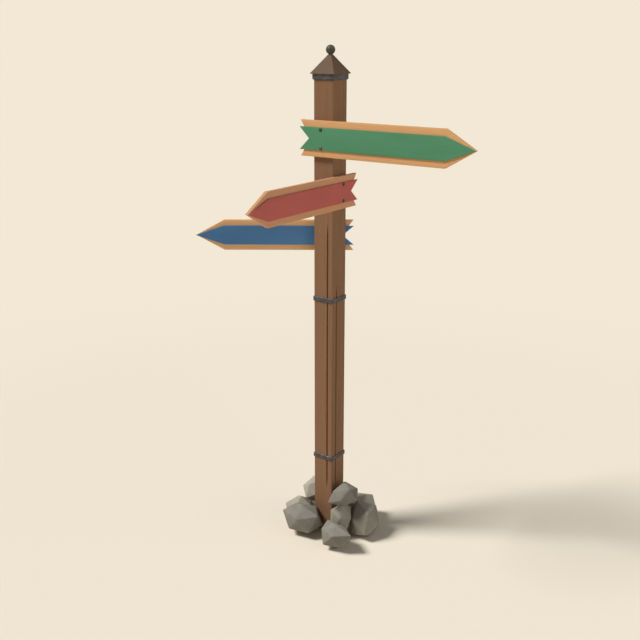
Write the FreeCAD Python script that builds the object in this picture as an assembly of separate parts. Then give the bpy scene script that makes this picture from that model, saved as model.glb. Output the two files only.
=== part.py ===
import FreeCAD, Part
import math
import os

from FreeCAD import Placement, Rotation, Vector

# Timber fingerpost sign: a square post with three arrow boards, two flat iron bands, a collar,
# a pyramid cap with a ball finial, and a heap of broken stone set round the foot.
# All sizes are millimetres. The origin is the middle of the post's foot, at ground level, and
# +Z is up. The upper arm lies on the post's -Y face and points to +X. The middle arm lies on
# the +X face and points to -Y. The lower arm is let into the back corner, between -X and +Y.

# Post
POST_WIDTH = 120.0
POST_HEIGHT = 2587.0
POST_ARRIS = 2.0

# Drying checks: long V-shaped splits that run with the grain
CHECK_WIDTH = 9.0
CHECK_DEPTH = 16.0
CHECK_RUNOUT = 60.0
CHECK_BOTTOM = 284.0
LONG_CHECK_TOP = 1828.0
LONG_CHECK_OFFSET = 27.0
SHORT_CHECK_TOP = 1500.0
SHORT_CHECK_OFFSET = -22.0

# Iron bands round the post. The upper one keeps its place under the arms, so it is measured
# as a drop from the post's top to its lower edge.
BAND_HEIGHT = 25.0
BAND_THICKNESS = 5.0
BAND_CHAMFER = 2.0
IRON_CORNER = 2.5
UPPER_BAND_DROP = 1189.0
LOWER_BAND_BOTTOM = 464.0

# Iron collar under the cap
COLLAR_HEIGHT = 30.0
COLLAR_THICKNESS = 7.0
COLLAR_CHAMFER = 5.5

# Pyramid cap
CAP_OVERHANG = 14.0
CAP_EDGE = 3.0
CAP_SLOPE_HEIGHT = 90.0
CAP_TOP_WIDTH = 18.0

# Ball finial, turned in one piece with its neck and its spigot
BALL_DIAMETER = 48.0
NECK_DIAMETER = 20.0
NECK_HEIGHT = 1.5
SPIGOT_DIAMETER = 10.0
SPIGOT_IN_POST = 70.0
SPIGOT_CLEARANCE = 0.2

# What all three arrow boards and their painted panels share
BOARD_THICKNESS = 20.0
BOARD_EDGE = 1.5
PANEL_THICKNESS = 6.0
PANEL_EDGE = 0.8
PANEL_OVERHANG = 3.0
NOTCH_DEPTH = 60.0

# The upper arm. An arm's drop is from the post's top to its middle line, and its tail,
# shoulder and tip are measured along it from the post's middle.
UPPER_ARM_DROP = 319.0
UPPER_ARM_DEPTH = 184.0
UPPER_PANEL_DEPTH = 116.0
UPPER_ARM_TAIL = 131.0
UPPER_ARM_SHOULDER = 711.0
UPPER_ARM_TIP = 871.0

# The middle arm
MIDDLE_ARM_DROP = 595.0
MIDDLE_ARM_DEPTH = 173.0
MIDDLE_PANEL_DEPTH = 108.0
MIDDLE_ARM_TAIL = 128.0
MIDDLE_ARM_SHOULDER = 612.0
MIDDLE_ARM_TIP = 755.0

# The lower arm, which is let into a housing across the back corner
LOWER_ARM_DROP = 843.0
LOWER_ARM_DEPTH = 165.0
LOWER_PANEL_DEPTH = 103.0
LOWER_ARM_TAIL = 125.0
LOWER_ARM_SHOULDER = 571.0
LOWER_ARM_TIP = 722.0
LOWER_ARM_TURN = 35.4
HOUSING_DEPTH = 30.0
HOUSING_CLEARANCE = 0.3

# Round-headed coach screws, two through each arm
SCREW_DIAMETER = 8.0
SCREW_HEAD_DIAMETER = 21.0
SCREW_HEAD_HEIGHT = 5.0
SCREW_HEAD_RIM = 0.5
SCREW_IN_POST = 62.0
SCREW_POINT = 9.0
SCREW_EDGE_MARGIN = 11.0
SCREW_CLEARANCE = 0.2

# Stones: how uneven they are, the share of its height that a low stone loses to its flat bed,
# and the gap that is left where a stone meets the post or another stone
STONE_UNEVEN = 0.12
STONE_BEDDING = 0.04
STONE_GAP = 0.3

# How far off a stone starts before it is slid in or let down, and when it counts as arrived
STONE_START = 500.0
STONE_STEPS = 200
STONE_ARRIVED = 0.02

# Two measures closer than this are the same
SAME = 1e-6


class Arm:
    """An arrow board: where it is, and the sizes of its board and its painted panel.

    It is built facing -Y in its own frame, which is then turned about the post's axis. The
    board points to +X in that frame where its sense is 1, and to -X where it is -1.
    """

    def __init__(self, name, turn, sense, drop, depth, panel_depth, tail, shoulder, tip):
        self.name = name
        self.turn = turn
        self.sense = sense
        self.height = POST_HEIGHT - drop
        self.depth = depth
        self.panel_depth = panel_depth
        self.tail = tail
        self.shoulder = shoulder
        self.tip = tip
        self.back = -POST_WIDTH / 2
        self.screw_offset = 0.0
        self.from_behind = False


UPPER_ARM = Arm(
    "upper_arm", turn=0.0, sense=1, drop=UPPER_ARM_DROP, depth=UPPER_ARM_DEPTH,
    panel_depth=UPPER_PANEL_DEPTH, tail=UPPER_ARM_TAIL, shoulder=UPPER_ARM_SHOULDER,
    tip=UPPER_ARM_TIP,
)
MIDDLE_ARM = Arm(
    "middle_arm", turn=90.0, sense=-1, drop=MIDDLE_ARM_DROP, depth=MIDDLE_ARM_DEPTH,
    panel_depth=MIDDLE_PANEL_DEPTH, tail=MIDDLE_ARM_TAIL, shoulder=MIDDLE_ARM_SHOULDER,
    tip=MIDDLE_ARM_TIP,
)
LOWER_ARM = Arm(
    "lower_arm", turn=LOWER_ARM_TURN, sense=-1, drop=LOWER_ARM_DROP, depth=LOWER_ARM_DEPTH,
    panel_depth=LOWER_PANEL_DEPTH, tail=LOWER_ARM_TAIL, shoulder=LOWER_ARM_SHOULDER,
    tip=LOWER_ARM_TIP,
)
ARMS = [UPPER_ARM, MIDDLE_ARM, LOWER_ARM]

# The lower arm stands behind the post, with its painted face to the post's back corner
back_turn = math.radians(LOWER_ARM_TURN)
corner_reach = POST_WIDTH / 2 * (math.cos(back_turn) + math.sin(back_turn))
corner_offset = POST_WIDTH / 2 * (math.sin(back_turn) - math.cos(back_turn))
seat_slant = (1 / math.tan(back_turn) - math.tan(back_turn)) / 2
LOWER_ARM.back = corner_reach - HOUSING_DEPTH + BOARD_THICKNESS
LOWER_ARM.screw_offset = corner_offset + HOUSING_DEPTH * seat_slant
LOWER_ARM.from_behind = True


def about_axis(shape, degrees):
    """The shape turned about the post's axis"""
    turned = shape.copy()
    turned.rotate(Vector(0, 0, 0), Vector(0, 0, 1), degrees)
    return turned


def turned(edges):
    """A solid of revolution about Z, from a closed profile in the XZ plane"""
    profile = Part.Face(Part.Wire(edges))
    return profile.revolve(Vector(0, 0, 0), Vector(0, 0, 1), 360)


def rounded_square(width, radius, bottom, height):
    """A square prism on the post's axis with its four upright edges rounded"""
    block = Part.makeBox(width, width, height, Vector(-width / 2, -width / 2, bottom))
    upright = [edge for edge in block.Edges if abs(edge.BoundBox.ZLength - height) < SAME]
    return block.makeFillet(radius, upright)


def square_wire(width, level, corner=0.0):
    """A level square wire on the post's axis, with its corners cut where corner isn't zero"""
    half = width / 2
    spots = []
    for across, along in ((1, 1), (-1, 1), (-1, -1), (1, -1)):
        before = Vector(across * half, along * (half - corner), level)
        after = Vector(across * (half - corner), along * half, level)
        pair = [before, after] if across * along > 0 else [after, before]
        spots += pair if corner else pair[:1]
    return Part.makePolygon(spots + spots[:1])


def iron_ring(bottom, profile):
    """An iron ring that fits round the post; profile is a list of thickness and height"""
    wires = [square_wire(POST_WIDTH + 2 * out, bottom + up, IRON_CORNER) for out, up in profile]
    inner = rounded_square(POST_WIDTH, POST_ARRIS, bottom, profile[-1][1])
    return Part.makeLoft(wires, True, True).cut(inner)


def make_band(bottom):
    """A flat iron band with eased upper and lower outer edges"""
    thin = BAND_THICKNESS - BAND_CHAMFER
    profile = [
        (thin, 0),
        (BAND_THICKNESS, BAND_CHAMFER),
        (BAND_THICKNESS, BAND_HEIGHT - BAND_CHAMFER),
        (thin, BAND_HEIGHT),
    ]
    return iron_ring(bottom, profile)


def make_collar():
    """The collar under the cap, with a broad chamfer round its lower edge"""
    profile = [
        (COLLAR_THICKNESS - COLLAR_CHAMFER, 0),
        (COLLAR_THICKNESS, COLLAR_CHAMFER),
        (COLLAR_THICKNESS, COLLAR_HEIGHT),
    ]
    return iron_ring(POST_HEIGHT - COLLAR_HEIGHT, profile)


def spigot_hole(bottom, top):
    """A round hole on the post's axis that clears the finial's spigot"""
    radius = SPIGOT_DIAMETER / 2 + SPIGOT_CLEARANCE
    return Part.makeCylinder(radius, top - bottom, Vector(0, 0, bottom))


def make_cap():
    """The pyramid cap: a thin upright edge, four slopes and a small flat for the finial"""
    eaves = (POST_WIDTH + 2 * CAP_OVERHANG) / 2
    flat = CAP_TOP_WIDTH / 2
    slope_bottom = POST_HEIGHT + CAP_EDGE
    top = slope_bottom + CAP_SLOPE_HEIGHT
    edge = Part.makeBox(2 * eaves, 2 * eaves, CAP_EDGE, Vector(-eaves, -eaves, POST_HEIGHT))
    slopes = Part.makeWedge(-eaves, 0, -eaves, -flat, -flat, eaves, CAP_SLOPE_HEIGHT, eaves, flat, flat)
    slopes.rotate(Vector(0, 0, 0), Vector(1, 0, 0), 90)
    slopes.translate(Vector(0, 0, slope_bottom))
    return edge.fuse(slopes).removeSplitter().cut(spigot_hole(POST_HEIGHT, top))


def make_finial():
    """The finial: a turned iron ball on a short neck, with a spigot down into the post"""
    radius = BALL_DIAMETER / 2
    neck = NECK_DIAMETER / 2
    spigot = SPIGOT_DIAMETER / 2
    foot = POST_HEIGHT + CAP_EDGE + CAP_SLOPE_HEIGHT
    spigot_end = POST_HEIGHT - SPIGOT_IN_POST
    shoulder = foot + NECK_HEIGHT
    centre = shoulder + math.sqrt(radius**2 - neck**2)
    crown = Vector(0, 0, centre + radius)
    round_side = Part.Arc(Vector(neck, 0, shoulder), Vector(radius, 0, centre), crown)
    rest = Part.makePolygon([
        crown,
        Vector(0, 0, spigot_end),
        Vector(spigot, 0, spigot_end),
        Vector(spigot, 0, foot),
        Vector(neck, 0, foot),
        Vector(neck, 0, shoulder),
    ])
    return turned([round_side.toShape()] + rest.Edges)


def arrow_plate(arm, depth, overhang, front, thickness):
    """A plate with the arm's outline: a pointed head and a swallow-tail notch.

    The outline lies in the XZ plane. Only its depth differs between board and panel.
    """
    half = depth / 2
    tail = -arm.tail - overhang
    tip = arm.tip + overhang
    outline = [
        (tail, half),
        (tail + NOTCH_DEPTH, 0),
        (tail, -half),
        (arm.shoulder, -half),
        (tip, 0),
        (arm.shoulder, half),
        (tail, half),
    ]
    points = [Vector(arm.sense * x, front, arm.height + z) for x, z in outline]
    return Part.Face(Part.makePolygon(points)).extrude(Vector(0, thickness, 0))


def eased(plate, size, faces_at):
    """The plate with the outline edges of its faces at the given y eased by a chamfer"""
    rims = []
    for edge in plate.Edges:
        box = edge.BoundBox
        if any(abs(box.YMin - y) < SAME and abs(box.YMax - y) < SAME for y in faces_at):
            rims.append(edge)
    return plate.makeChamfer(size, rims)


def screw_spots(arm):
    """The two places of the arm's screws, above and below its middle line"""
    offset = arm.panel_depth / 2 - SCREW_EDGE_MARGIN
    return [Vector(arm.screw_offset, 0, arm.height + side * offset) for side in (1, -1)]


def screw_frame(arm):
    """Where the screw's head bears, and the way its shank runs along Y, as 1 or -1"""
    if arm.from_behind:
        return arm.back, -1
    return arm.back - BOARD_THICKNESS - PANEL_THICKNESS, 1


def screw_length():
    """The length of a screw below its head"""
    return BOARD_THICKNESS + PANEL_THICKNESS + SCREW_IN_POST


def make_screw():
    """One round-headed coach screw, standing on its point, with a plain shank.

    The underside of its head is at the origin.
    """
    radius = SCREW_DIAMETER / 2
    head_radius = SCREW_HEAD_DIAMETER / 2
    rim = SCREW_HEAD_RIM
    dome_rise = SCREW_HEAD_HEIGHT - rim
    dome_radius = (head_radius**2 + dome_rise**2) / (2 * dome_rise)
    half_angle = math.asin(head_radius / dome_radius) / 2
    middle = Vector(
        dome_radius * math.sin(half_angle),
        0,
        SCREW_HEAD_HEIGHT - dome_radius + dome_radius * math.cos(half_angle),
    )
    dome = Part.Arc(Vector(0, 0, SCREW_HEAD_HEIGHT), middle, Vector(head_radius, 0, rim))
    rest = Part.makePolygon([
        Vector(head_radius, 0, rim),
        Vector(head_radius, 0, 0),
        Vector(radius, 0, 0),
        Vector(radius, 0, SCREW_POINT - screw_length()),
        Vector(0, 0, -screw_length()),
        Vector(0, 0, SCREW_HEAD_HEIGHT),
    ])
    return turned([dome.toShape()] + rest.Edges)


def make_screws():
    """All the arms' coach screws, each laid down at its spot as a solid of its own"""
    screw = make_screw()
    solids = []
    for arm in ARMS:
        seat, inward = screw_frame(arm)
        lay_down = Rotation(Vector(0, 0, 1), Vector(0, -inward, 0))
        for spot in screw_spots(arm):
            one = screw.copy()
            one.Placement = Placement(spot + Vector(0, seat, 0), lay_down)
            solids.append(about_axis(one, arm.turn))
    return Part.makeCompound(solids)


def screw_holes(arm):
    """The holes that clear the arm's screws, in the arm's own frame"""
    seat, inward = screw_frame(arm)
    radius = SCREW_DIAMETER / 2 + SCREW_CLEARANCE
    reach = screw_length() + SCREW_CLEARANCE
    holes = []
    for spot in screw_spots(arm):
        start = spot + Vector(0, seat, 0)
        holes.append(Part.makeCylinder(radius, reach, start, Vector(0, inward, 0)))
    return Part.makeCompound(holes)


def make_arm(arm):
    """The board and the panel of one arm, drilled for its screws"""
    board_front = arm.back - BOARD_THICKNESS
    panel_front = board_front - PANEL_THICKNESS
    board = arrow_plate(arm, arm.depth, 0.0, board_front, BOARD_THICKNESS)
    board = eased(board, BOARD_EDGE, (board_front, arm.back)).cut(screw_holes(arm))
    panel = arrow_plate(arm, arm.panel_depth, PANEL_OVERHANG, panel_front, PANEL_THICKNESS)
    panel = eased(panel, PANEL_EDGE, (panel_front,)).cut(screw_holes(arm))
    return about_axis(board, arm.turn), about_axis(panel, arm.turn)


def back_housing():
    """What is cut from the back corner: a seat for the board and a channel for the panel"""
    arm = LOWER_ARM
    board_front = arm.back - BOARD_THICKNESS
    panel_front = board_front - PANEL_THICKNESS
    cuts = []
    for front, depth in ((board_front, arm.depth), (panel_front, arm.panel_depth)):
        height = depth + 2 * HOUSING_CLEARANCE
        corner = Vector(-POST_WIDTH, front, arm.height - height / 2)
        cuts.append(Part.makeBox(2 * POST_WIDTH, POST_WIDTH, height, corner))
    return about_axis(cuts[0].fuse(cuts[1]), arm.turn)


def drying_check(top, offset, turn):
    """A V-shaped split in the face at y = -half width, which runs out to a point at each end"""
    face = -POST_WIDTH / 2
    half = CHECK_WIDTH / 2
    low = CHECK_BOTTOM + CHECK_RUNOUT
    high = top - CHECK_RUNOUT
    ridge_low = Vector(offset, face + CHECK_DEPTH, low)
    ridge_high = Vector(offset, face + CHECK_DEPTH, high)
    foot = Vector(offset, face, CHECK_BOTTOM)
    head = Vector(offset, face, top)
    left = [Vector(offset - half, face, level) for level in (low, high)]
    right = [Vector(offset + half, face, level) for level in (low, high)]
    faces = [
        [foot, right[0], right[1], head, left[1], left[0]],
        [right[0], ridge_low, ridge_high, right[1]],
        [left[0], left[1], ridge_high, ridge_low],
        [foot, ridge_low, right[0]],
        [foot, left[0], ridge_low],
        [head, right[1], ridge_high],
        [head, ridge_high, left[1]],
    ]
    return about_axis(solid_from(faces), turn)


def solid_from(faces):
    """A solid from its flat faces, each given by its corners"""
    shell = Part.makeShell([Part.Face(Part.makePolygon(face + face[:1])) for face in faces])
    solid = Part.makeSolid(shell)
    if solid.Volume < 0:
        solid.reverse()
    return solid


def make_post():
    """The post with its checks, the back housing and the holes for screws and spigot"""
    post = rounded_square(POST_WIDTH, POST_ARRIS, 0, POST_HEIGHT)
    post = post.cut(drying_check(LONG_CHECK_TOP, LONG_CHECK_OFFSET, 0))
    post = post.cut(drying_check(SHORT_CHECK_TOP, SHORT_CHECK_OFFSET, 90))
    post = post.cut(back_housing())
    for arm in ARMS:
        post = post.cut(about_axis(screw_holes(arm), arm.turn))
    hole_end = POST_HEIGHT - SPIGOT_IN_POST - SPIGOT_CLEARANCE
    return post.cut(spigot_hole(hole_end, POST_HEIGHT))


class Stone:
    """One broken stone of the heap.

    It is slid in towards its spot along its heading. Its sizes are its length, width and
    height before it is turned about its own upright middle line. The lean and the seed
    settle how its corners lie. An upper stone is let down on the low ones.
    """

    def __init__(self, name, spot, heading, sizes, turn, lean, seed, upper=False):
        self.name = name
        self.spot = spot
        self.heading = heading
        self.sizes = sizes
        self.turn = turn
        self.lean = lean
        self.seed = seed
        self.upper = upper


STONES = [
    Stone(
        "wedge_stone", spot=(120, -44), heading=180, sizes=(136, 123, 216),
        turn=82, lean=16.4, seed=7.85,
    ),
    Stone(
        "front_left_stone", spot=(-93, -155), heading=60, sizes=(240, 174, 191),
        turn=-3, lean=3.6, seed=1.37,
    ),
    Stone(
        "front_stone", spot=(172, -157), heading=112, sizes=(208, 150, 160),
        turn=-5, lean=4.1, seed=7.87,
    ),
    Stone(
        "right_stone", spot=(218, 56), heading=170, sizes=(190, 194, 214),
        turn=144, lean=44.7, seed=8.37,
    ),
    Stone(
        "rear_stone", spot=(-46, 120), heading=270, sizes=(108, 122, 172),
        turn=10, lean=8, seed=6.6,
    ),
    Stone(
        "right_rear_stone", spot=(110, 200), heading=285, sizes=(176, 160, 172),
        turn=87, lean=17.4, seed=8.0,
    ),
    Stone(
        "left_stone", spot=(-185, -31), heading=343, sizes=(176, 138, 157),
        turn=72, lean=4.0, seed=0.98,
    ),
    Stone(
        "left_rear_stone", spot=(-120, 100), heading=320, sizes=(128, 108, 116),
        turn=20, lean=12, seed=5.2,
    ),
    Stone(
        "upper_right_stone", spot=(126, -46), heading=180, sizes=(190, 148, 123),
        turn=73, lean=35.4, seed=1.08, upper=True,
    ),
    Stone(
        "upper_left_stone", spot=(-139, 45), heading=0, sizes=(156, 146, 154),
        turn=91, lean=36, seed=8.92, upper=True,
    ),
]


def stone_points(stone):
    """The twelve corners of an uneven icosahedron, from its poles and its two rings of five"""
    latitude = math.atan(0.5)
    spots = [(math.pi / 2, 0.0)]
    for row, side in ((0, 1), (1, -1)):
        for step in range(5):
            spots.append((side * latitude, math.radians(72 * step + 36 * row)))
    spots.append((-math.pi / 2, 0.0))
    lean = Rotation(Vector(1, 0, 0), stone.lean)
    points = []
    for index, (up, around) in enumerate(spots):
        reach = 1 + STONE_UNEVEN * math.sin(stone.seed * (2 * index + 3))
        across = math.cos(up)
        raw = Vector(across * math.cos(around), across * math.sin(around), math.sin(up))
        points.append(lean.multVec(raw * reach))
    return points


def raw_stone(stone):
    """The stone about its own middle, brought to its length, width and height"""
    points = stone_points(stone)
    ends = [(min(p[axis] for p in points), max(p[axis] for p in points)) for axis in range(3)]
    scales = [size / (high - low) for size, (low, high) in zip(stone.sizes, ends)]
    middle = Vector(*[(low + high) / 2 for low, high in ends])
    fitted = []
    for point in points:
        spot = point - middle
        fitted.append(Vector(spot.x * scales[0], spot.y * scales[1], spot.z * scales[2]))
    top, upper, lower, foot = fitted[0], fitted[1:6], fitted[6:11], fitted[11]
    faces = []
    for step in range(5):
        after = (step + 1) % 5
        faces.append([top, upper[step], upper[after]])
        faces.append([upper[step], lower[step], upper[after]])
        faces.append([upper[after], lower[step], lower[after]])
        faces.append([foot, lower[after], lower[step]])
    solid = solid_from(faces)
    solid.rotate(Vector(0, 0, 0), Vector(0, 0, 1), stone.turn)
    return solid


def in_the_way(solid, placed, direction):
    """Those placed solids that the moving solid could meet, going by their bounding boxes"""
    ahead = solid.copy()
    ahead.translate(direction * 2 * STONE_START)
    swept = solid.BoundBox
    swept.add(ahead.BoundBox)
    swept.enlarge(STONE_GAP)
    return [other for other in placed if swept.intersect(other.BoundBox)]


def approach(solid, placed, direction):
    """The solid moved along a direction until it is one stone gap from what is placed.

    Each step is no longer than the free distance, so the solid never passes into another.
    """
    obstacles = in_the_way(solid, placed, direction)
    for _ in range(STONE_STEPS):
        free = min(solid.distToShape(other)[0] for other in obstacles) - STONE_GAP
        if free < STONE_ARRIVED:
            break
        solid.translate(direction * free)
    return solid


def make_stones():
    """The heap: low stones are slid in along the ground, upper ones are let down on them"""
    shaft = rounded_square(POST_WIDTH, POST_ARRIS, 0, POST_HEIGHT)
    ground = Part.makeBox(4 * STONE_START, 4 * STONE_START, STONE_START)
    ground.translate(Vector(-2 * STONE_START, -2 * STONE_START, -STONE_START))
    low_stones = []
    finished = []
    for stone in STONES:
        solid = raw_stone(stone)
        heading = math.radians(stone.heading)
        inward = Vector(math.cos(heading), math.sin(heading), 0)
        start = Vector(stone.spot[0], stone.spot[1], 0) - inward * STONE_START
        if stone.upper:
            solid.translate(start + Vector(0, 0, STONE_START))
            solid = approach(solid, [shaft], inward)
            solid = approach(solid, low_stones, Vector(0, 0, -1))
        else:
            solid.translate(start + Vector(0, 0, stone.sizes[2] * (0.5 - STONE_BEDDING)))
            solid = approach(solid.cut(ground).Solids[0], [shaft] + low_stones, inward)
            low_stones.append(solid)
        finished.append((stone.name, solid))
    return finished


def build():
    """Every node of the sign, by name"""
    nodes = {
        "post": make_post(),
        "cap": make_cap(),
        "cap_collar": make_collar(),
        "finial": make_finial(),
        "upper_band": make_band(POST_HEIGHT - UPPER_BAND_DROP),
        "lower_band": make_band(LOWER_BAND_BOTTOM),
    }
    for arm in ARMS:
        board, panel = make_arm(arm)
        nodes[arm.name + "_board"] = board
        nodes[arm.name + "_panel"] = panel
    nodes["arm_screws"] = make_screws()
    for name, solid in make_stones():
        nodes[name] = solid
    return nodes


os.makedirs("parts", exist_ok=True)
for name, shape in build().items():
    shape.exportStep("parts/" + name + ".step")
    print(name, len(shape.Solids), round(shape.Volume), shape.isValid(), flush=True)
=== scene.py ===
"""Dresses the fingerpost sign: its timber, painted arrow panels, ironwork and heap of stone.

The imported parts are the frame. The post and the cap keep their own meshes. The boards, panels,
ironwork, screws and stones are worked out again as finer surfaces in the same places. Lengths
are in metres and angles in degrees, unless a line says otherwise.
"""

import logging
import math
from dataclasses import dataclass, replace
from enum import Enum
from typing import Any

import bpy
import numpy as np
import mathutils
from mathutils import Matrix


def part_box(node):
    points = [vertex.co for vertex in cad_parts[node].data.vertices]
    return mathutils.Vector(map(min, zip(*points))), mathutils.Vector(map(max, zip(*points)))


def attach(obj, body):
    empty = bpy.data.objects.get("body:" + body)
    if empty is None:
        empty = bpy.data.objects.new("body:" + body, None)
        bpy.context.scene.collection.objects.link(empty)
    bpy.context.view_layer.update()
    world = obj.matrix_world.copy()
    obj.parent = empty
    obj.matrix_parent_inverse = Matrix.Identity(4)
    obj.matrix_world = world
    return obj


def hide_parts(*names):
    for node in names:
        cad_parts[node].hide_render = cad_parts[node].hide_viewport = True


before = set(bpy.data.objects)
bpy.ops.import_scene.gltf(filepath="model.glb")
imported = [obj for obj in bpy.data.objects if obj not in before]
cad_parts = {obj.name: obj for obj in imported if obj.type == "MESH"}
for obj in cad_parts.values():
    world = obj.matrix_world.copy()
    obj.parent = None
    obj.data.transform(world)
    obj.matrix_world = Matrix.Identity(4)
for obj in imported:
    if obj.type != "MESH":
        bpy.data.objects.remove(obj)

LOG = logging.getLogger("fingerpost")
MM = 0.001
BODY = "root"
UP = np.array([0.0, 0.0, 1.0])

# Points that agree to this many decimals of a metre are merged
WELD_DECIMALS = 6
# Heights closer than this count as one
LEVEL_GAP = 0.01 * MM
# The mean of a noise, which runs from 0 to 1
MEAN = 0.5

# Painted light: how far each listed stone is lifted from grey towards a pale colour, from 0 to 1,
# standing in for light on facets that lie in shade
STONE_PAINTED_LIGHT = {
    "left_stone": 0.65, "upper_left_stone": 0.6,
    "right_rear_stone": 0.9, "wedge_stone": 0.5, "right_stone": 0.2,
}

Array = np.ndarray
Colour = tuple[float, float, float]
Vector = tuple[float, float, float]
Band = tuple[float, float]
Shares = tuple[float, ...]
Surface = tuple[Array, list[list[int]]]
Material = bpy.types.Material
Node = bpy.types.Node
Socket = bpy.types.NodeSocket


class Grain(Enum):
    """The way a timber's fibres run."""

    UP = "up"
    LEVEL = "level"


@dataclass(frozen=True)
class Noise:
    """A soft noise: its scale, its detail, and how far it is drawn out along a grain."""

    scale: float
    detail: float = 3.0
    rough: float = 0.5
    stretch: float = 1.0


# Shader maths


class Value:
    """A number that changes over a surface, used with ordinary operators."""

    def __init__(self, nodes: "Nodes", socket: Socket) -> None:
        """Keeps the socket and the nodes that it belongs to."""
        self.nodes = nodes
        self.socket = socket

    def __add__(self, other: "Value | float") -> "Value":
        """The sum."""
        return self.nodes.math("ADD", self, other)

    def __radd__(self, other: float) -> "Value":
        """The sum, with the plain number first."""
        return self.nodes.math("ADD", other, self)

    def __sub__(self, other: "Value | float") -> "Value":
        """The difference."""
        return self.nodes.math("SUBTRACT", self, other)

    def __rsub__(self, other: float) -> "Value":
        """The difference, with the plain number first."""
        return self.nodes.math("SUBTRACT", other, self)

    def __mul__(self, other: "Value | float") -> "Value":
        """The product."""
        return self.nodes.math("MULTIPLY", self, other)

    def __pow__(self, other: float) -> "Value":
        """The power."""
        return self.nodes.math("POWER", self, other)


class Nodes:
    """A shader node tree, filled from empty."""

    def __init__(self, tree: bpy.types.NodeTree) -> None:
        """Empties the tree and keeps it."""
        self.tree = tree
        self.tree.nodes.clear()

    def node(self, kind: str, values: dict[str, Any] | None = None, **settings: Any) -> Node:
        """Adds one node.

        Args:
            kind: The node's type.
            values: A number, colour, socket or Value for each socket, by name or identifier.
            settings: Its own settings, which are made first.

        Returns:
            The node.
        """
        made = self.tree.nodes.new(kind)
        for key, setting in settings.items():
            setattr(made, key, setting)
        for key, value in (values or {}).items():
            self.feed(made, key, value)
        return made

    def feed(self, node: Node, key: str, value: Any) -> None:
        """Sets or links one socket.

        Args:
            node: The node that takes the value.
            key: The socket's identifier or name.
            value: A number, colour, socket or Value.
        """
        socket = next(s for s in node.inputs if key in (s.identifier, s.name))
        if isinstance(value, Value):
            value = value.socket
        if isinstance(value, Socket):
            self.tree.links.new(value, socket)
        elif isinstance(value, tuple) and len(value) == 3 and socket.type == "RGBA":
            socket.default_value = (*value, 1.0)
        else:
            socket.default_value = value

    def math(self, operation: str, first: Any, second: Any = 0.0) -> Value:
        """One Math node on two values."""
        values = {"Value": first, "Value_001": second}
        return Value(self, self.node("ShaderNodeMath", values, operation=operation).outputs[0])

    def length(self, vector: Socket) -> Value:
        """The length of a vector."""
        made = self.node("ShaderNodeVectorMath", {"Vector": vector}, operation="LENGTH")
        return Value(self, made.outputs["Value"])

    def blend(self, parts: tuple[Value, ...], shares: Shares) -> Value:
        """The sum of the parts, each times its share."""
        total = parts[0] * shares[0]
        for part, share in zip(parts[1:], shares[1:]):
            total = total + part * share
        return total

    def seen(self) -> Value:
        """One where a ray comes from the camera, a gloss or glass, and nought elsewhere."""
        path = self.node("ShaderNodeLightPath")
        total = Value(self, path.outputs["Is Camera Ray"])
        for name in ("Is Glossy Ray", "Is Transmission Ray"):
            total = self.math("MAXIMUM", total, path.outputs[name])
        return total

    def either(self, share: Value, first: Node, second: Node) -> Socket:
        """The first node's light where the share is 0 and the second's where it is 1."""
        values = {"Fac": share, "Shader": first.outputs[0], "Shader_001": second.outputs[0]}
        return self.node("ShaderNodeMixShader", values).outputs[0]


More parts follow.
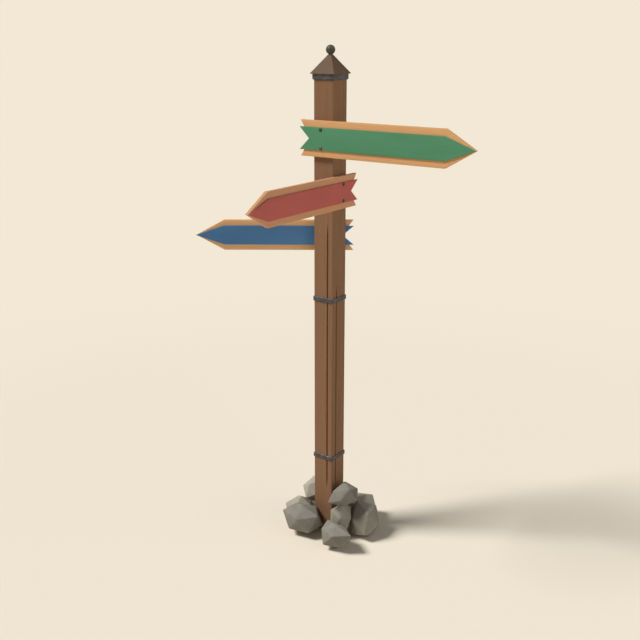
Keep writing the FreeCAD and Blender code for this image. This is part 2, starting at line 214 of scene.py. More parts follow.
class Shader(Nodes):
    """One material's nodes, built round a single Principled surface."""

    def __init__(self, name: str) -> None:
        """Makes a material of this name, with only its surface and its output."""
        self.material = bpy.data.materials.new(name)
        self.material.use_nodes = True
        super().__init__(self.material.node_tree)
        self.surface = self.node("ShaderNodeBsdfPrincipled")
        lit = {"Surface": self.surface.outputs[0]}
        self.output = self.node("ShaderNodeOutputMaterial", lit)

    def place(self) -> Socket:
        """The point on the piece, in metres."""
        return self.node("ShaderNodeTexCoord").outputs["Object"]

    def laid(self, turn: Vector, stretch: float = 1.0) -> Socket:
        """The point on the piece in a turned frame, drawn out along the frame's own X.

        Args:
            turn: The frame's turn about X, Y and Z, in radians.
            stretch: What the turned X is divided by.

        Returns:
            A vector socket.
        """
        values = {"Vector": self.place(), "Rotation": turn, "Scale": (stretch, 1.0, 1.0)}
        return self.node("ShaderNodeMapping", values, vector_type="TEXTURE").outputs[0]

    def noise(self, kind: Noise, where: Socket) -> Value:
        """Noise from 0 to 1 at a vector socket."""
        values = {"Vector": where, "Scale": kind.scale, "Detail": kind.detail}
        values["Roughness"] = kind.rough
        return Value(self, self.node("ShaderNodeTexNoise", values).outputs[0])

    def streaks(self, kind: Noise, turn: Vector) -> Value:
        """Noise from 0 to 1, drawn out along the X of a turned frame."""
        return self.noise(kind, self.laid(turn, kind.stretch))

    def step(self, value: Value, band: Band) -> Value:
        """A smooth rise from 0 at the band's first number to 1 at its second.

        Where the first is the larger, it is a fall.
        """
        flip = band[0] > band[1]
        values = {
            "Value": value, "From Min": min(band), "From Max": max(band),
            "To Min": 1.0 if flip else 0.0, "To Max": 0.0 if flip else 1.0,
        }
        made = self.node("ShaderNodeMapRange", values, interpolation_type="SMOOTHSTEP")
        return Value(self, made.outputs[0])

    def attribute(self, name: str) -> Value:
        """A number that the mesh carries at each point."""
        made = self.node("ShaderNodeAttribute", attribute_name=name)
        return Value(self, made.outputs["Fac"])

    def mix(self, share: Value, first: Any, second: Any) -> Socket:
        """The first colour where the share is 0 and the second where it is 1."""
        values = {"Factor_Float": share, "A_Color": first, "B_Color": second}
        made = self.node("ShaderNodeMix", values, data_type="RGBA", clamp_factor=True)
        return next(s for s in made.outputs if s.identifier == "Result_Color")

    def finish(
        self, colour: Any, roughness: Any, height: Value, depth: float, gloss: float,
        metallic: Any = 0.0,
    ) -> Material:
        """Feeds the surface and closes the material.

        Args:
            colour: The base colour.
            roughness: The roughness.
            height: The relief, from 0 to 1.
            depth: How deep a relief of 1 is, in metres.
            gloss: The strength of its highlights, the same all over.
            metallic: The share of bare metal.

        Returns:
            The material.
        """
        bump = self.node("ShaderNodeBump", {"Height": height, "Distance": depth, "Strength": 1.0})
        self.feed(self.surface, "Base Color", colour)
        self.feed(self.surface, "Roughness", roughness)
        self.feed(self.surface, "Metallic", metallic)
        self.feed(self.surface, "Specular IOR Level", gloss)
        self.feed(self.surface, "Normal", bump.outputs[0])
        return self.material


# Finishes


def tinted(colour: Colour, by: Colour | float, haze: float = 0.0) -> Colour:
    """A colour times a number or another colour, with a little white added, up to white."""
    return tuple(np.minimum(np.multiply(colour, by) + haze, 1.0).tolist())


@dataclass(frozen=True)
class TimberFinish:
    """Sawn timber: growth rings round a heart line, fibres along the grain and weathering.

    The tone's shares are those of the rings, the streaks and the fibres, and the relief's
    those of the fibres, the streaks and the soft wood between the rings.
    """

    name: str
    light: Colour
    dark: Colour
    heart: tuple[float, float] = (0.012, -0.02)
    weather: Noise = Noise(3.2, 2.0, stretch=6.0)
    wander: Noise = Noise(9.0, 2.0, stretch=9.0)
    fibre: Noise = Noise(620.0, 4.0, 0.6, stretch=42.0)
    streak: Noise = Noise(120.0, 3.0, 0.55, stretch=30.0)
    ring_gap: float = 7.5 * MM
    ring_wander: float = 3.4
    ring_sharpness: float = 2.2
    tone_shares: Shares = (0.2, 0.3, 0.5)
    weather_share: float = 0.5
    tone_band: Band = (0.08, 0.86)
    roughness: float = 0.72
    roughness_spread: float = 0.22
    relief: float = 0.35 * MM
    relief_shares: Shares = (0.45, 0.35, 0.2)
    gloss: float = 0.16

    def rings(self, shader: Shader, lay: Vector) -> Value:
        """The growth rings, from 0 to 1.

        At r from the heart line they are (1/2 + sin(2 pi (r / gap + wander)) / 2)^sharpness.

        Args:
            shader: The material's nodes.
            lay: The turn of the grain about X, Y and Z, in radians.

        Returns:
            The rings.
        """
        across = {
            "Vector": shader.laid(lay),
            "Vector_001": (0.0, 1.0, 1.0),
            "Vector_002": (0.0, -self.heart[0], -self.heart[1]),
        }
        flat = shader.node("ShaderNodeVectorMath", across, operation="MULTIPLY_ADD")
        wander = shader.streaks(self.wander, lay) * self.ring_wander
        count = shader.length(flat.outputs[0]) * (1.0 / self.ring_gap) + wander
        return (shader.math("SINE", count * (2 * math.pi)) * 0.5 + 0.5) ** self.ring_sharpness

    def material(self, grain: Grain, turn: float = 0.0) -> Material:
        """The timber with its grain laid one way.

        Args:
            grain: Up the piece or level.
            turn: The level grain's direction about Z, in degrees.

        Returns:
            The material.
        """
        shader = Shader(f"{self.name}_{grain.value}_{int(turn) % 360}")
        level = (0.0, 0.0, math.radians(turn))
        lay = (0.0, -math.pi / 2, 0.0) if grain is Grain.UP else level
        weather = shader.streaks(self.weather, lay)
        fibre = shader.streaks(self.fibre, lay)
        streak = shader.streaks(self.streak, lay)
        ring = self.rings(shader, lay)
        tone = shader.blend((ring, streak, fibre), self.tone_shares)
        share = shader.step(tone + (weather - MEAN) * self.weather_share, self.tone_band)
        colour = shader.mix(share, self.light, self.dark)
        roughness = self.roughness + (streak - MEAN) * self.roughness_spread
        relief = shader.blend((fibre, streak, 1.0 - ring), self.relief_shares)
        return shader.finish(colour, roughness, relief, self.relief, self.gloss)


@dataclass(frozen=True)
class PaintFinish:
    """Brushed paint on a timber panel, thinner and rubbed along the edges.

    The deep, pale and worn tones are the colour times a number. The reaches and bands say
    how far inside the edge, in millimetres, the paint is thin, and where it is rubbed off.
    """

    name: str
    colour: Colour
    bare: Colour = (0.3, 0.2, 0.12)
    deep: float = 0.86
    pale: float = 1.1
    worn: float = 0.78
    haze: float = 0.008
    brush: Noise = Noise(420.0, 3.0, 0.55, stretch=55.0)
    fade: Noise = Noise(5.0, 3.0, stretch=3.0)
    chip: Noise = Noise(150.0, 4.0, 0.62, stretch=1.6)
    coat_shares: Shares = (0.7, 0.3)
    coat_band: Band = (0.25, 0.75)
    thin_reach: float = 4.0
    thin_band: Band = (5.5, 1.2)
    thin_share: float = 0.45
    rub_reach: float = 9.0
    rub_band: Band = (4.0, 3.2)
    roughness: float = 0.55
    fade_roughness: float = 0.14
    rub_roughness: float = 0.2
    relief: float = 0.12 * MM
    relief_shares: Shares = (0.7, 0.3)
    gloss: float = 0.22

    def material(self, turn: float) -> Material:
        """The paint with its brush marks along the arm.

        Args:
            turn: The arm's direction about Z, in degrees.

        Returns:
            The material.
        """
        shader = Shader(f"{self.name}_{int(turn) % 360}")
        lay = (0.0, 0.0, math.radians(turn))
        brush = shader.streaks(self.brush, lay)
        fade = shader.streaks(self.fade, lay)
        chip = shader.streaks(self.chip, lay)
        inside = shader.attribute("edge") * (1.0 / MM)
        rubbed = shader.step(inside + chip * self.rub_reach, self.rub_band)
        thin = shader.step(inside + fade * self.thin_reach, self.thin_band)
        coat = shader.mix(
            shader.step(shader.blend((fade, brush), self.coat_shares), self.coat_band),
            tinted(self.colour, self.deep),
            tinted(self.colour, self.pale, self.haze),
        )
        coat = shader.mix(thin * self.thin_share, coat, tinted(self.colour, self.worn))
        colour = shader.mix(rubbed, coat, self.bare)
        roughness = self.roughness + (fade - MEAN) * self.fade_roughness
        roughness = roughness + rubbed * self.rub_roughness
        relief = shader.blend((brush, 1.0 - rubbed), self.relief_shares)
        return shader.finish(colour, roughness, relief, self.relief, self.gloss)


@dataclass(frozen=True)
class IronFinish:
    """Blackened iron: a dark matte coat, fine pitting, brighter worn patches and rust."""

    name: str
    colour: Colour
    bright: Colour
    rust: Colour = (0.11, 0.058, 0.034)
    patch: Noise = Noise(34.0, 4.0, 0.6)
    pit: Noise = Noise(520.0, 3.0, 0.6)
    bloom: Noise = Noise(85.0, 4.0, 0.65)
    pit_share: float = 0.18
    worn_band: Band = (0.52, 0.74)
    rust_band: Band = (0.6, 0.74)
    rust_share: float = 0.45
    roughness: float = 0.56
    pit_roughness: float = 0.2
    worn_polish: float = 0.1
    rust_roughness: float = 0.2
    metallic: float = 0.2
    worn_metal: float = 0.2
    rust_dulling: float = 0.4
    relief: float = 0.25 * MM
    relief_shares: Shares = (0.6, 0.4)
    gloss: float = 0.3

    def material(self) -> Material:
        """The ironwork's material."""
        shader = Shader(self.name)
        where = shader.place()
        patch = shader.noise(self.patch, where)
        pit = shader.noise(self.pit, where)
        worn = shader.step(patch + pit * self.pit_share, self.worn_band)
        rusty = shader.step(shader.noise(self.bloom, where), self.rust_band) * self.rust_share
        colour = shader.mix(rusty, shader.mix(worn, self.colour, self.bright), self.rust)
        roughness = self.roughness + (pit - MEAN) * self.pit_roughness
        roughness = roughness - worn * self.worn_polish + rusty * self.rust_roughness
        metallic = self.metallic + worn * self.worn_metal - rusty * self.rust_dulling
        relief = shader.blend((pit, patch), self.relief_shares)
        return shader.finish(colour, roughness, relief, self.relief, self.gloss, metallic)


@dataclass(frozen=True)
class StoneFinish:
    """Broken grey stone: mottled tones, dark specks, dust on what faces up, and painted light.

    The relief's shares are those of the mottling, the grit and the specks.
    """

    name: str
    colour: Colour
    pale: Colour
    dark: Colour
    # The pale colour that painted light lifts the listed stones towards
    painted_light_colour: Colour
    mottle: Noise = Noise(16.0, 5.0, 0.6)
    grit: Noise = Noise(210.0, 4.0, 0.65)
    speck: Noise = Noise(480.0, 2.0)
    grit_share: float = 0.5
    mottle_band: Band = (0.3, 0.7)
    dust_mottling: float = 0.8
    dust_band: Band = (0.45, 1.1)
    dust_share: float = 0.55
    speck_band: Band = (0.63, 0.72)
    speck_share: float = 0.5
    roughness: float = 0.88
    roughness_spread: float = 0.16
    relief: float = 0.6 * MM
    relief_shares: Shares = (0.45, 0.4, 0.15)
    gloss: float = 0.15

    def material(self) -> Material:
        """The stones' material."""
        shader = Shader(self.name)
        where = shader.place()
        mottle = shader.noise(self.mottle, where)
        grit = shader.noise(self.grit, where)
        speck = shader.noise(self.speck, where)
        tone = shader.step(mottle + (grit - MEAN) * self.grit_share, self.mottle_band)
        settled = shader.attribute("dust") + (mottle - MEAN) * self.dust_mottling
        dust = shader.step(settled, self.dust_band) * self.dust_share
        dark = shader.step(speck, self.speck_band) * self.speck_share
        body = shader.mix(tone, self.dark, self.colour)
        body = shader.mix(dust, body, self.pale)
        body = shader.mix(dark, body, self.dark)
        # Painted light: each listed stone is lifted towards the pale colour by its share in the
        # tone attribute
        colour = shader.mix(shader.attribute("tone"), body, self.painted_light_colour)
        roughness = self.roughness + (grit - MEAN) * self.roughness_spread
        relief = shader.blend((mottle, grit, speck), self.relief_shares)
        return shader.finish(colour, roughness, relief, self.relief, self.gloss)


# Surfaces


def grid_quads(rows: int, columns: int, closed: bool = False) -> Array:
    """The four-cornered faces of a grid of points.

    Args:
        rows: How many rows of points there are.
        columns: How many points a row has.
        closed: Whether the last column meets the first.

    Returns:
        An array of four point numbers a face. A face turns from its row to its column.
    """
    across = columns if closed else columns - 1
    row, column = np.meshgrid(np.arange(rows - 1), np.arange(across), indexing="ij")
    after = (column + 1) % columns
    corners = [row * columns + column, (row + 1) * columns + column]
    corners += [(row + 1) * columns + after, row * columns + after]
    return np.stack(corners, axis=-1).reshape(-1, 4)


def ripple(
    points: Array, scale: float, seed: int, octaves: int = 3, waves: int = 5, calm: float = 2.2
) -> Array:
    """Smooth seeded relief between -1 and 1.

    It is half the sum of plane sine waves in random directions, each octave twice as fine and
    half as strong as the one before.

    Args:
        points: Positions in metres, an array of three columns.
        scale: The longest wave, in metres.
        seed: Which relief it is.
        octaves: How many octaves are added.
        waves: How many waves an octave has.
        calm: What the first octave's sum is divided by.

    Returns:
        One value a point.
    """
    draw = np.random.default_rng(seed)
    total = np.zeros(len(points))
    for octave in range(octaves):
        ways = draw.normal(size=(3, waves))
        ways /= np.linalg.norm(ways, axis=0)
        phases = draw.uniform(0.0, 2 * math.pi, waves)
        swell = np.sin(points @ ways * (2 * math.pi * 2**octave / scale) + phases)
        total += swell.sum(axis=1) / (calm * 2**octave)
    return np.clip(total / 2, -1.0, 1.0)


def lathe(profile: Array, segments: int) -> Surface:
    """A surface turned about Z.

    A profile point (r, h) at the angle a goes to (r cos a, r sin a, h). The first and last
    points lie on the axis and become single poles.

    Args:
        profile: Radii and heights, from the foot's pole to the top's pole.
        segments: How many steps go round.

    Returns:
        The points and the faces.
    """
    angle = np.linspace(0.0, 2 * math.pi, segments, endpoint=False)
    radius, height = profile[1:-1, :1], profile[1:-1, 1:]
    rings = np.stack(
        [radius * np.cos(angle), radius * np.sin(angle), height + 0.0 * angle], axis=-1
    ).reshape(-1, 3)
    poles = np.array([[0.0, 0.0, profile[0, 1]], [0.0, 0.0, profile[-1, 1]]])
    count = len(profile) - 2
    side = grid_quads(count, segments, closed=True)[:, ::-1]
    here = np.arange(segments)
    after = (here + 1) % segments
    foot = np.stack([after, here, np.full(segments, len(rings))], axis=1)
    last = (count - 1) * segments
    top = np.stack([last + here, last + after, np.full(segments, len(rings) + 1)], axis=1)
    return np.vstack([rings, poles]), side.tolist() + foot.tolist() + top.tolist()


def square_path(half: Array, radius: Array, per_side: int, per_corner: int) -> Array:
    """Closed rounded squares about the Z axis.

    Each corner is an arc of the given radius about a point that far inside both sides, and
    the sides between are divided evenly.

    Args:
        half: Half the width of each square.
        radius: The corner radius of each square.
        per_side: Divisions of a side.
        per_corner: Divisions of a corner.

    Returns:
        An array of squares by points by two.
    """
    arc = np.linspace(0.0, math.pi / 2, per_corner + 1)
    run = np.linspace(0.0, 1.0, per_side + 1)[1:-1]
    centre = (half - radius)[:, None]
    bend_x = centre + radius[:, None] * np.cos(arc)
    bend_y = centre + radius[:, None] * np.sin(arc)
    x = np.hstack([bend_x, centre * (1.0 - 2.0 * run)])
    y = np.hstack([bend_y, half[:, None] + 0.0 * run])
    parts = []
    for quarter in range(4):
        turn = quarter * math.pi / 2
        along = x * math.cos(turn) - y * math.sin(turn)
        across = x * math.sin(turn) + y * math.cos(turn)
        parts.append(np.stack([along, across], axis=-1))
    return np.concatenate(parts, axis=1)


def link(name: str, data: Any) -> bpy.types.Object:
    """Puts a mesh, a lamp or a camera into the scene as an object."""
    made = bpy.data.objects.new(name, data)
    bpy.context.scene.collection.objects.link(made)
    return made


def add_mesh(name: str, surface: Surface, material: Material) -> bpy.types.Object:
    """Puts a surface into the scene as an object of one material."""
    points, faces = surface
    mesh = bpy.data.meshes.new(name)
    mesh.from_pydata(points.tolist(), [], faces)
    mesh.materials.append(material)
    LOG.info("%s: %d points, %d faces", name, len(points), len(faces))
    return link(name, mesh)


def add_piece(
    name: str, surface: Surface, material: Material, replaces: str,
    attributes: dict[str, Array] | None = None, crease: float = 32.0,
) -> None:
    """Puts a finished surface into the scene as one piece.

    Args:
        name: The piece's name.
        surface: Its points in metres, and its faces as point numbers, facing outwards.
        material: Its material.
        replaces: The part that it stands for.
        attributes: A value a point, by name.
        crease: Edges sharper than this many degrees stay sharp.
    """
    piece = add_mesh(name, surface, material)
    for key, values in (attributes or {}).items():
        made = piece.data.attributes.new(key, "FLOAT", "POINT")
        made.data.foreach_set("value", values.astype(np.float32))
    piece.data.shade_smooth()
    piece.data.set_sharp_from_angle(angle=math.radians(crease))
    piece.data.update()
    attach(piece, BODY)
    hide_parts(replaces)


def node_mesh(name: str) -> tuple[Array, Array]:
    """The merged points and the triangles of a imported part."""
    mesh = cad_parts[name].data
    raw = np.zeros(len(mesh.vertices) * 3)
    mesh.vertices.foreach_get("co", raw)
    corners = np.zeros(len(mesh.loops), dtype=int)
    mesh.loops.foreach_get("vertex_index", corners)
    rounded = np.round(raw.reshape(-1, 3), WELD_DECIMALS)
    spots, index = np.unique(rounded, axis=0, return_inverse=True)
    return spots, index.reshape(-1)[corners].reshape(-1, 3)


# The sign's sub-assemblies


@dataclass
class Plate:
    """A flat plate with a swallow-tail notch at one end and a point at the other.

    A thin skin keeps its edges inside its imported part.
    """

    name: str
    along: Array
    out: Array
    notch: float
    ease: float
    eased_back: bool
    skin: float = 0.1 * MM
    ease_steps: int = 3
    divisions: tuple[int, int] = (72, 14)

    def __post_init__(self) -> None:
        """Takes the plate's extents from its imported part, in the arm's own directions."""
        spots = node_mesh(self.name)[0]
        run, level, depth = spots @ self.along, spots[:, 2], spots @ self.out
        self.middle: float = (level.max() + level.min()) / 2
        self.half: float = (level.max() - level.min()) / 2
        rim = np.abs(np.abs(level - self.middle) - self.half) < LEVEL_GAP
        self.tail, self.tip = run[rim].min(), run.max()
        self.back, self.front = depth.min(), depth.max()
        self.point_angle = math.atan2(self.half, self.tip - run[rim].max())
        self.notch_angle = math.atan2(self.half, self.notch)

    def ends(self, inset: float) -> tuple[float, Array, Array]:
        """The outline drawn in by an inset.

        The point's and the notch's edges are straight lines, x sin b + |z| cos b = c. Drawing
        them in by e changes c by e, and they are then cut at z = 0 and at the drawn-in side.

        Args:
            inset: How far every edge moves in, in metres.

        Returns:
            Half the height, the start of the plate on its middle line and at its side, and
            its end on its middle line and at its side.
        """
        side = self.half - inset
        point, cut = self.point_angle, self.notch_angle
        far = self.tip * math.sin(point) - inset
        near = (self.tail + self.notch) * math.sin(cut) + inset
        end = np.array([far, far - side * math.cos(point)]) / math.sin(point)
        start = np.array([near, near - side * math.cos(cut)]) / math.sin(cut)
        return side, start, end

    def layer(self, inset: float, out: float) -> Array:
        """One flat grid of the plate.

        The grid's second parameter v runs from -1 to 1 over the height, and its first, u,
        runs from the plate's start to its end at that height, both linear in |v|.

        Args:
            inset: How far its edges are drawn in.
            out: How far out of the post it lies.

        Returns:
            The points, u by v by three: along, out and up.
        """
        side, start, end = self.ends(inset + self.skin)
        u = np.linspace(0.0, 1.0, self.divisions[0] + 1)[:, None]
        v = np.linspace(-1.0, 1.0, self.divisions[1] + 1)[None, :]
        first = start[0] + (start[1] - start[0]) * np.abs(v)
        last = end[0] + (end[1] - end[0]) * np.abs(v)
        run = first + (last - first) * u
        return np.stack([run, out + 0.0 * run, self.middle + side * v + 0.0 * u], axis=-1)

    def rim(self, grid: Array) -> Array:
        """The grid's border, in order round it."""
        return np.concatenate([grid[:-1, 0], grid[-1, :-1], grid[:0:-1, -1], grid[0, :0:-1]])

    def edge_distance(self, points: Array) -> Array:
        """How far each point lies inside the plate's outline."""
        run, level = points[:, 0], np.abs(points[:, 2] - self.middle)
        point, cut = self.point_angle, self.notch_angle
        far = self.tip * math.sin(point) - run * math.sin(point) - level * math.cos(point)
        near = (run - self.tail - self.notch) * math.sin(cut) + level * math.cos(cut)
        return np.maximum(np.minimum(np.minimum(self.half - level, far), near), 0.0)

    def loops(self) -> list[tuple[float, float]]:
        """The loops round the edge, from the front to the back.

        On an eased arris the inset is e (1 - sin a) and the drop e (1 - cos a), while the
        angle a goes from 0 to a right angle.

        Returns:
            The inset of each loop, and how far out of the post it lies.
        """
        angles = np.linspace(0.0, math.pi / 2, self.ease_steps + 1)
        steps = [(self.ease * (1 - math.sin(a)), self.ease * (1 - math.cos(a))) for a in angles]
        front = [(inset, self.front - drop) for inset, drop in steps]
        if self.eased_back:
            return front + [(inset, self.back + drop) for inset, drop in reversed(steps)]
        return front + [(0.0, self.back)]

    def build(self) -> tuple[Surface, dict[str, Array]]:
        """The closed plate, a front and a back grid joined by loops, and its edge distances."""
        loops = self.loops()
        front, back = self.layer(*loops[0]), self.layer(*loops[-1])
        rings = [self.rim(self.layer(*loop)) for loop in loops[1:-1]]
        face = grid_quads(*front.shape[:2])
        number = np.arange(front.shape[0] * front.shape[1]).reshape(front.shape[:2])
        border = self.rim(number[:, :, None])[:, 0]
        count, size = len(border), number.size
        index = [2 * size + k * count + np.arange(count) for k in range(len(rings))]
        index = [border, *index, size + border]
        walls = []
        for upper, lower in zip(index[:-1], index[1:]):
            after_upper, after_lower = np.roll(upper, -1), np.roll(lower, -1)
            walls.append(np.stack([upper, lower, after_lower, after_upper], axis=1))
        faces = np.vstack([face, face[:, ::-1] + size] + walls)
        flat = np.vstack([front.reshape(-1, 3), back.reshape(-1, 3)] + rings)
        points = flat[:, :1] * self.along + flat[:, 1:2] * self.out
        points[:, 2] += flat[:, 2]
        if np.cross(self.along, UP) @ self.out < 0:
            faces = faces[:, ::-1]
        return (points, faces.tolist()), {"edge": self.edge_distance(flat)}


@dataclass
class CoachScrew:
    """A coach screw: a domed head on a plain shank."""

    shank: float = 4 * MM
    head: float = 10.5 * MM
    rise: float = 5 * MM
    rim: float = 0.5 * MM
    length: float = 88 * MM
    point: float = 9 * MM
    edge_margin: float = 11 * MM
    dome_points: int = 10
    segments: int = 40

    def profile(self) -> Array:
        """The screw's outline from its point to its crown, with the head bearing at zero."""
        lift = self.rise - self.rim
        ball = (self.head**2 + lift**2) / (2 * lift)
        sweep = np.linspace(math.asin(self.head / ball), 0.0, self.dome_points)
        dome = np.stack([ball * np.sin(sweep), self.rise - ball + ball * np.cos(sweep)], axis=1)
        stem = [
            (0.0, -self.length),
            (self.shank, self.point - self.length),
            (self.shank, 0.0),
            (self.head, 0.0),
        ]
        return np.vstack([stem, dome])

    def at(self, place: Array, out: Array) -> Surface:
        """The screw lying along the given way out, with its head bearing at a place."""
        points, faces = lathe(self.profile(), self.segments)
        basis = np.stack([np.cross(UP, out), UP, out])
        return points @ basis + place, faces


@dataclass
class Arm:
    """One arrow board with its painted panel and the places of its screws.

    The turn is the board's direction about Z, and the sense says which way along it the
    arrow points. The board's own timber colour is multiplied by a colour of the arm's own:
    painted shade that darkens and cools the middle arm, and painted light that brightens
    the lower arm.
    """

    name: str
    turn: float
    sense: int
    paint: PaintFinish
    # Painted light and shade: multiplies the board's timber colour
    painted_light_shade_tint: Colour = (1.0, 1.0, 1.0)
    screw_offset: float = 0.0
    from_behind: bool = False
    notch: float = 60 * MM
    board_ease: float = 1.5 * MM
    panel_ease: float = 0.8 * MM

    def __post_init__(self) -> None:
        """Works out the arm's own directions: along it, and out of its painted face."""
        angle = math.radians(self.turn)
        self.along = self.sense * np.array([math.cos(angle), math.sin(angle), 0.0])
        self.out = np.array([math.sin(angle), -math.cos(angle), 0.0])

    def plate(self, part: str, ease: float, eased_back: bool) -> Plate:
        """The board or the panel, as a plate."""
        name = f"{self.name}_{part}"
        return Plate(name, self.along, self.out, self.notch, ease, eased_back)

    def build(self, timber: TimberFinish, screw: CoachScrew) -> list[Surface]:
        """Builds and dresses the board and the panel.

        Args:
            timber: The boards' finish.
            screw: The screw that holds them.

        Returns:
            The arm's two screws.
        """
        board = self.plate("board", self.board_ease, True)
        panel = self.plate("panel", self.panel_ease, False)
        # Painted light and shade: the timber's colours are scaled by the arm's own colour, darker
        # on the middle arm and lighter on the lower arm
        light, dark = tinted(timber.light, self.painted_light_shade_tint), tinted(timber.dark, self.painted_light_shade_tint)
        wood = replace(timber, light=light, dark=dark).material(Grain.LEVEL, self.turn)
        surface, marks = board.build()
        add_piece(f"{self.name}_timber", surface, wood, board.name, marks)
        surface, marks = panel.build()
        paint = self.paint.material(self.turn)
        add_piece(f"{self.name}_paint", surface, paint, panel.name, marks)
        bearing, way = (board.back, -1) if self.from_behind else (panel.front, 1)
        place = self.along * self.screw_offset + self.out * bearing
        reach = panel.half - screw.edge_margin
        levels = (board.middle + reach, board.middle - reach)
        return [screw.at(place + UP * level, self.out * way) for level in levels]


@dataclass
class Ironwork:
    """The two bands, the collar and the turned finial.

    A section lists the thickness and the height of its corners, in millimetres, from the
    lower inner one round the outside to the upper inner one.
    """

    half: float = 60 * MM
    arris: float = 2 * MM
    arris_growth: float = 0.2
    band_section: tuple = ((0, 0), (3, 0), (5, 2), (5, 12.5), (5, 23), (3, 25), (0, 25))
    collar_section: tuple = ((0, 0), (1.5, 0), (7, 5.5), (7, 18), (7, 30), (0, 30))
    per_side: int = 26
    per_corner: int = 4
    outer_face: float = 2.9 * MM
    dent: float = 0.35 * MM
    dent_width: float = 50 * MM
    ball: float = 24 * MM
    neck: float = 10 * MM
    spigot: float = 5 * MM
    neck_rise: float = 1.5 * MM
    spigot_length: float = 163 * MM
    ball_points: int = 26
    segments: int = 56

    def ring(self, node: str, section: tuple, iron: Material, seed: int) -> None:
        """A flat iron ring: its section carried round the post's rounded square.

        A section point (t, h) lies on a square that is t wider on each side than the post, at
        the height h. Its outer face is beaten in a little.

        Args:
            node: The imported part.
            section: The ring's section.
            iron: Its material.
            seed: Which dents it has.
        """
        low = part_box(node)[0].z
        thick, height = (np.array(section, dtype=float) * MM).T
        radius = self.arris + self.arris_growth * thick
        path = square_path(self.half + thick, radius, self.per_side, self.per_corner)
        rows, columns = path.shape[:2]
        level = np.repeat((low + height)[:, None], columns, axis=1)
        points = np.concatenate([path, level[:, :, None]], axis=2).reshape(-1, 3)
        outer = np.repeat(thick > self.outer_face, columns)
        dents = (0.5 + 0.5 * ripple(points, self.dent_width, seed)) * self.dent * outer
        points[:, :2] *= 1.0 - (dents / np.linalg.norm(points[:, :2], axis=1))[:, None]
        outside = grid_quads(rows, columns, closed=True)[:, ::-1]
        here = np.arange(columns)
        after = np.roll(here, -1)
        last = (rows - 1) * columns
        inside = np.stack([last + here, last + after, after, here], axis=1)
        faces = np.vstack([outside, inside]).tolist()
        add_piece(f"{node}_iron", (points, faces), iron, node)

    def finial(self, iron: IronFinish) -> None:
        """The ball on its neck, with the spigot below it, as one turned surface."""
        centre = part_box("finial")[1].z - self.ball
        drop = math.sqrt(self.ball**2 - self.neck**2)
        start = -math.acos(self.neck / self.ball)
        sweep = np.linspace(start, math.pi / 2, self.ball_points)
        ball = np.stack([self.ball * np.cos(sweep), centre + self.ball * np.sin(sweep)], axis=1)
        under = centre - drop - self.neck_rise
        end = under - self.spigot_length
        stem = [(0.0, end), (self.spigot, end), (self.spigot, under), (self.neck, under)]
        profile = np.vstack([stem, ball])
        profile[-1, 0] = 0.0
        surface = lathe(profile, self.segments)
        add_piece("finial_ball", surface, iron.material(), "finial")

    def build(self, iron: IronFinish, ball_iron: IronFinish) -> None:
        """Builds the rings and the finial."""
        black = iron.material()
        self.ring("upper_band", self.band_section, black, seed=3)
        self.ring("lower_band", self.band_section, black, seed=5)
        self.ring("cap_collar", self.collar_section, black, seed=7)
        self.finial(ball_iron)


